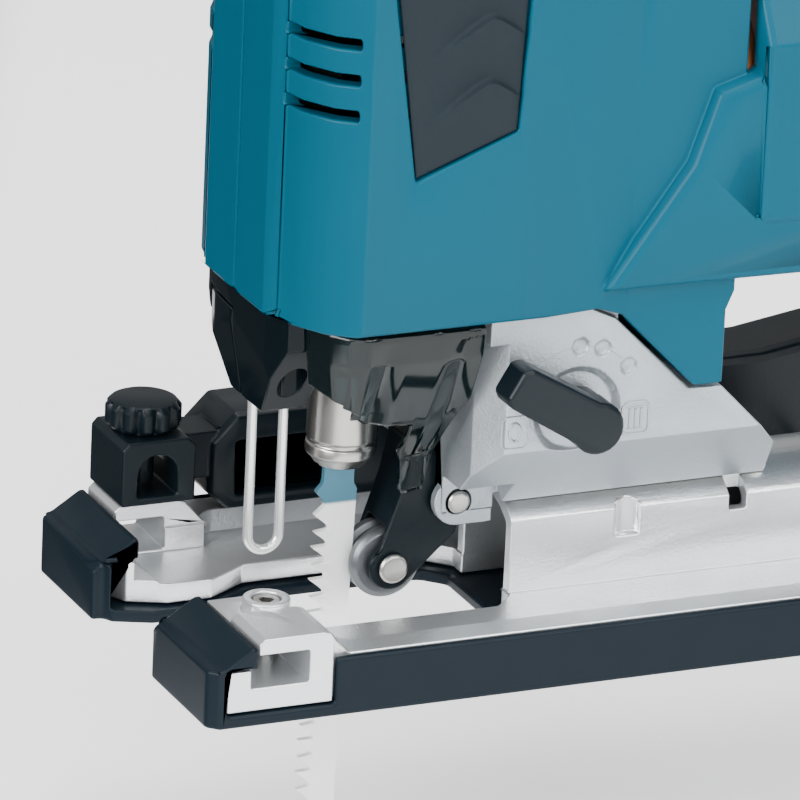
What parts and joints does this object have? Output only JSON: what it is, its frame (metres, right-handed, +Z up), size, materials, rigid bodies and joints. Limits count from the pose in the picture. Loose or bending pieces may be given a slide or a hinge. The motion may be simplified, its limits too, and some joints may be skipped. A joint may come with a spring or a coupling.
{
  "type": "cordless jigsaw",
  "caption": "Cordless orbital jigsaw with a D handle, tilting base, guide roller, reciprocating blade, smoked dust cover and slide-on battery.",
  "frame": {"origin": "on the underside of the base's cover plate, on the centre plane, 40 mm behind the blade's centre line", "axes": "+X forward, the way the blade's teeth face; +Y the tool's left; +Z up, away from the work"},
  "size_m": [0.266, 0.0895, 0.255],
  "materials": {
    "teal_shell": "fine moulded texture",
    "soft_rubber": "soft matt rubber",
    "cover_black": "satin, blue black",
    "black_plastic": "satin black",
    "gloss_black": "high gloss",
    "smoked_clear": "smoked clear polycarbonate",
    "cast_metal": "die cast, fine grain",
    "steel": "machined",
    "bright_steel": "polished",
    "copper": "enamelled copper windings",
    "board": "lacquered board",
    "cell_wrap": "cell sleeves and holder",
    "lamp_lens": "clear lens"
  },
  "bodies": {
    "tool_body": {"housing_left": "teal_shell", "housing_right": "teal_shell", "handle_grip": "soft_rubber", "side_pad_left": "soft_rubber", "side_pad_right": "soft_rubber", "housing_screw_1": "steel", "housing_screw_2": "steel", "housing_screw_3": "steel", "housing_screw_4": "steel", "gear_housing": "cast_metal", "link_pin": "steel", "motor_bearing_front": "steel", "motor_bearing_rear": "steel", "crank_bearing": "steel", "stator": "copper", "front_shell": "gloss_black", "wire_guard": "bright_steel", "work_lamp": "lamp_lens", "switch_body": "black_plastic", "controller_board": "board", "dial_pin": "steel", "battery_terminal": "black_plastic"},
    "rotor": {"rotor_shaft": "steel", "rotor_core": "steel", "cooling_fan": "black_plastic"},
    "crank": {"crank_gear": "steel"},
    "guide": {"plunger_guide": "steel"},
    "plunger": {"plunger": "steel", "clamp_sleeve": "steel", "saw_blade": "bright_steel"},
    "roller_arm": {"roller_arm": "black_plastic", "roller_pin": "steel"},
    "roller": {"guide_roller": "steel"},
    "orbit_lever": {"orbit_lever": "black_plastic"},
    "dust_cover": {"dust_cover": "smoked_clear"},
    "blade_opener": {"blade_opener": "gloss_black"},
    "trigger": {"trigger": "soft_rubber"},
    "lock_button": {"lock_button": "black_plastic"},
    "speed_dial": {"speed_dial": "soft_rubber"},
    "base_carriage": {"bevel_saddle": "steel"},
    "base": {"base_plate": "cast_metal", "cover_plate": "cover_black", "base_bolt": "steel", "base_nut": "steel", "fence_screw": "steel", "dust_nozzle": "black_plastic"},
    "nozzle_knob": {"nozzle_knob": "black_plastic"},
    "battery": {"battery_case_top": "black_plastic", "battery_case_bottom": "black_plastic", "cell_block": "cell_wrap"},
    "battery_latch": {"battery_latch": "soft_rubber"}
  },
  "joints": [
    {"name": "rotor_spin", "type": "hinge", "parent": "tool_body", "child": "rotor", "pos_m": [0, 0, 0.096], "axis": [1, 0, 0], "continuous": true},
    {"name": "crank_spin", "type": "hinge", "parent": "tool_body", "child": "crank", "pos_m": [0.014, 0, 0.122], "axis": [1, 0, 0], "continuous": true},
    {"name": "guide_swing", "type": "hinge", "parent": "tool_body", "child": "guide", "pos_m": [0.03513, 0, 0.15092], "axis": [0, -1, 0], "range_deg": [0, 0.6]},
    {"name": "plunger_stroke", "type": "slide", "parent": "guide", "child": "plunger", "axis": [-0.0323, 0, 0.9995], "range_m": [-0.009, 0.017]},
    {"name": "roller_arm_swing", "type": "hinge", "parent": "tool_body", "child": "roller_arm", "pos_m": [0.0191, 0, 0.0242], "axis": [0, -1, 0], "range_deg": [0, 7.2]},
    {"name": "roller_spin", "type": "hinge", "parent": "roller_arm", "child": "roller", "pos_m": [0.03022, 0, 0.0118], "axis": [0, 1, 0], "continuous": true},
    {"name": "orbit_lever_turn", "type": "hinge", "parent": "tool_body", "child": "orbit_lever", "pos_m": [0.0048, 0.028, 0.046], "axis": [0, -1, 0], "range_deg": [0, 110]},
    {"name": "dust_cover_slide", "type": "slide", "parent": "tool_body", "child": "dust_cover", "axis": [0, 0, 1], "range_m": [0, 0.01]},
    {"name": "blade_opener_swing", "type": "hinge", "parent": "tool_body", "child": "blade_opener", "pos_m": [0.0563, -0.012, 0.053], "axis": [0, 0, -1], "range_deg": [0, 70]},
    {"name": "trigger_press", "type": "slide", "parent": "tool_body", "child": "trigger", "axis": [0, 0, 1], "range_m": [0, 0.005], "stiffness_N_per_m": 600, "springref_m": -0.001},
    {"name": "lock_press", "type": "slide", "parent": "tool_body", "child": "lock_button", "axis": [0, -1, 0], "range_m": [0, 0.0025], "stiffness_N_per_m": 300, "springref_m": -0.001},
    {"name": "speed_dial_turn", "type": "hinge", "parent": "tool_body", "child": "speed_dial", "pos_m": [-0.128, 0, 0.174], "axis": [0, 1, 0], "range_deg": [0, 270]},
    {"name": "base_slide", "type": "slide", "parent": "tool_body", "child": "base_carriage", "axis": [-1, 0, 0], "range_m": [0, 0.012]},
    {"name": "base_bevel", "type": "hinge", "parent": "base_carriage", "child": "base", "pos_m": [0, 0, 0.009], "axis": [1, 0, 0], "range_deg": [0, 45]},
    {"name": "nozzle_knob_turn", "type": "hinge", "parent": "base", "child": "nozzle_knob", "pos_m": [0.0632, -0.0332, 0.03], "axis": [0, 0, 1], "range_deg": [0, 360]},
    {"name": "battery_slide", "type": "slide", "parent": "tool_body", "child": "battery", "axis": [-1, 0, 0], "range_m": [0, 0.09]},
    {"name": "battery_latch_press", "type": "slide", "parent": "battery", "child": "battery_latch", "axis": [0, 0, -1], "range_m": [0, 0.0025], "stiffness_N_per_m": 500, "springref_m": -0.001}
  ],
  "couplings": [
    {"joint": "rotor_spin", "follows": "crank_spin", "ratio": -5.5},
    {"joint": "roller_arm_swing", "follows": "guide_swing", "ratio": 11.7}
  ]
}
